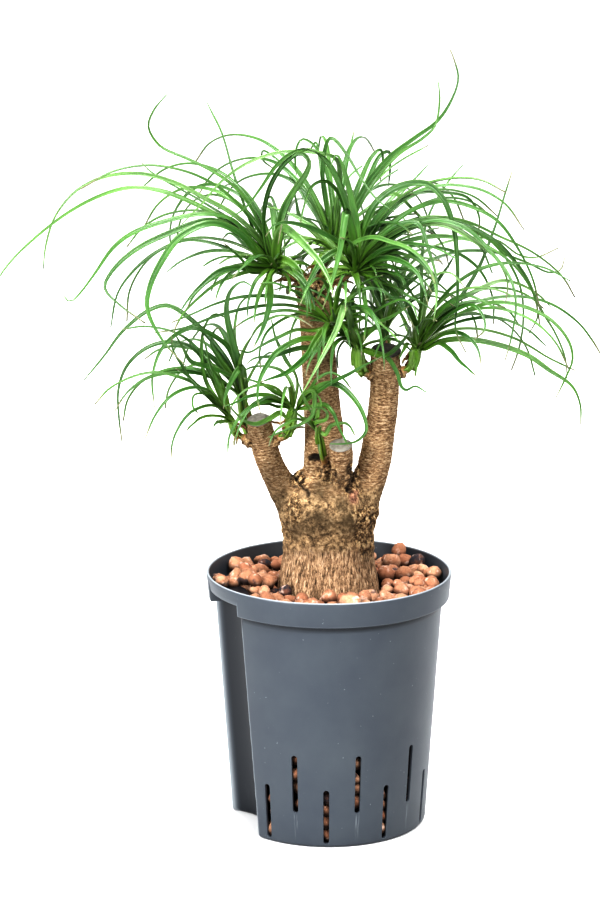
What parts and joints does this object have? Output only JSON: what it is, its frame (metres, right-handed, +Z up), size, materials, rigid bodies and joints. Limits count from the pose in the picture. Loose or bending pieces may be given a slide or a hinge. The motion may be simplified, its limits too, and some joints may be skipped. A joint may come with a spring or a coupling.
{
  "type": "potted ponytail palm",
  "caption": "Ponytail palm with a swollen base, cut limbs and arching strap leaves, in a slotted culture pot of expanded clay.",
  "frame": {"origin": "centre of the pot's flat underside, on the surface that the pot stands on", "axes": "+Z up the plant, -Y to the front that the picture shows, +X to the viewer's right"},
  "size_m": [0.4387, 0.2985, 0.5679],
  "materials": {
    "pot_plastic": "moulded polypropylene, satin slate grey",
    "fired_clay": "matt expanded clay, terracotta",
    "bark": "dry corky bark with leaf scar rings",
    "wound_wax": "dull grey grafting wax",
    "leaf": "waxy green strap leaf"
  },
  "bodies": {
    "root": {"culture_pot": "pot_plastic", "clay_granules": "fired_clay", "trunk": "bark", "wax_cap_left": "wound_wax", "wax_cap_right": "wound_wax", "wax_cap_front": "wound_wax", "crown_left": "leaf", "crown_right": "leaf", "crown_back": "leaf", "crown_low": "leaf", "shoot_right_inner": "leaf", "shoot_right_outer": "leaf", "shoot_right_back": "leaf", "shoot_left_outer": "leaf", "shoot_left_back": "leaf", "shoot_left_inner": "leaf", "shoot_front": "leaf"}
  },
  "joints": []
}
